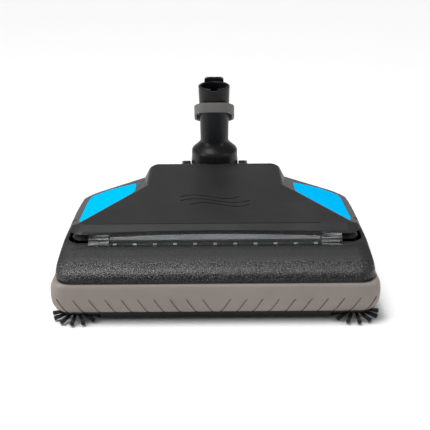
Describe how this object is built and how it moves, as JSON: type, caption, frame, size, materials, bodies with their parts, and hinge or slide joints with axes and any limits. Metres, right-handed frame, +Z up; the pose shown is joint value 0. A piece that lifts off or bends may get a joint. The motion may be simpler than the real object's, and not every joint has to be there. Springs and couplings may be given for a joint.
{
  "type": "powered floor cleaning head",
  "caption": "Wide powered floor brush head with a soft grooved bumper, a clear front light bar, sweeping edge brushes and a tilting, turning wand socket.",
  "frame": {"origin": "on the floor, at the centre of the base of the whole head", "axes": "+X to the right of the head seen from its front, +Y to the rear, +Z up out of the wand socket"},
  "size_m": [0.3606, 0.2923, 0.1983],
  "materials": {
    "cover_black": "satin",
    "hood_black": "coarse grain",
    "bumper_grey": "matt",
    "accent_blue": "satin, fine dimples",
    "clear_lens": "clear moulded plastic",
    "black_plastic": "satin",
    "circuit_board": "solder mask",
    "lamp_white": "gloss",
    "guide_grey": "satin",
    "glide_white": "smooth",
    "steel": "bright",
    "copper": "wound",
    "contact_brass": "bright",
    "roll_core": "satin",
    "bristle_black": "nylon tufts",
    "belt_rubber": "matt",
    "component_dark": "matt",
    "cable_black": "matt",
    "ring_grey": "satin"
  },
  "bodies": {
    "head": {"accent_panel_left": "accent_blue", "accent_panel_right": "accent_blue", "board_components": "component_dark", "board_standoffs": "black_plastic", "brush_tunnel": "black_plastic", "bumper": "bumper_grey", "chassis_tray": "black_plastic", "control_board": "circuit_board", "drive_belt": "belt_rubber", "edge_brush_pin_left": "steel", "edge_brush_pin_right": "steel", "front_glides": "glide_white", "front_hood": "hood_black", "lamp_cable": "cable_black", "light_board": "circuit_board", "light_guide": "guide_grey", "light_lamps": "lamp_white", "light_lens": "clear_lens", "light_tray": "black_plastic", "motor_cable": "cable_black", "motor_can": "steel", "motor_cradle": "black_plastic", "motor_end_bell": "black_plastic", "motor_straps": "steel", "roll_bearing_left": "contact_brass", "roll_bearing_right": "contact_brass", "sole_plate": "black_plastic", "sole_screws": "steel", "suction_duct": "black_plastic", "top_cover": "cover_black", "wheel_axle_left": "steel", "wheel_axle_right": "steel"},
    "roll": {"brush_roll_core": "roll_core", "brush_roll_tufts": "bristle_black", "brush_roll_end_discs": "black_plastic", "roll_pulley": "black_plastic"},
    "rotor": {"motor_shaft": "steel", "motor_armature": "copper", "motor_pulley": "steel"},
    "edge_left": {"edge_brush_hub_left": "black_plastic", "edge_brush_tufts_left": "bristle_black"},
    "edge_right": {"edge_brush_hub_right": "black_plastic", "edge_brush_tufts_right": "bristle_black"},
    "wheel_left": {"wheel_hub_left": "black_plastic", "wheel_tyre_left": "belt_rubber"},
    "wheel_right": {"wheel_hub_right": "black_plastic", "wheel_tyre_right": "belt_rubber"},
    "elbow": {"trunnion_elbow": "black_plastic", "neck_retainer": "glide_white"},
    "neck": {"neck_tube": "black_plastic", "neck_collar": "black_plastic", "connector_housing": "black_plastic", "connector_contacts": "contact_brass", "ring_pins": "steel"},
    "ring": {"release_ring": "ring_grey"}
  },
  "joints": [
    {"name": "neck_tilt", "type": "hinge", "parent": "head", "child": "elbow", "pos_m": [0, 0.1105, 0.078], "axis": [-1, 0, 0], "range_deg": [0, 75]},
    {"name": "neck_turn", "type": "hinge", "parent": "elbow", "child": "neck", "pos_m": [0, 0.1105, 0.1], "axis": [0, 0, 1], "range_deg": [-80, 80]},
    {"name": "ring_press", "type": "hinge", "parent": "neck", "child": "ring", "pos_m": [0, 0.1105, 0.1594], "axis": [1, 0, 0], "range_deg": [0, 7], "stiffness_Nm_per_rad": 0.4},
    {"name": "roll_spin", "type": "hinge", "parent": "head", "child": "roll", "pos_m": [0, -0.0975, 0.029], "axis": [1, 0, 0], "continuous": true},
    {"name": "motor_spin", "type": "hinge", "parent": "head", "child": "rotor", "pos_m": [-0.1, -0.008, 0.046], "axis": [1, 0, 0], "continuous": true},
    {"name": "edge_spin_left", "type": "hinge", "parent": "head", "child": "edge_left", "pos_m": [-0.1524, -0.12, 0.008], "axis": [0, 0, 1], "continuous": true},
    {"name": "edge_spin_right", "type": "hinge", "parent": "head", "child": "edge_right", "pos_m": [0.1524, -0.12, 0.008], "axis": [0, 0, 1], "continuous": true},
    {"name": "wheel_spin_left", "type": "hinge", "parent": "head", "child": "wheel_left", "pos_m": [-0.055, 0.1165, 0.028], "axis": [1, 0, 0], "continuous": true},
    {"name": "wheel_spin_right", "type": "hinge", "parent": "head", "child": "wheel_right", "pos_m": [0.055, 0.1165, 0.028], "axis": [1, 0, 0], "continuous": true}
  ],
  "couplings": [
    {"joint": "motor_spin", "follows": "roll_spin", "ratio": 2.1538}
  ]
}
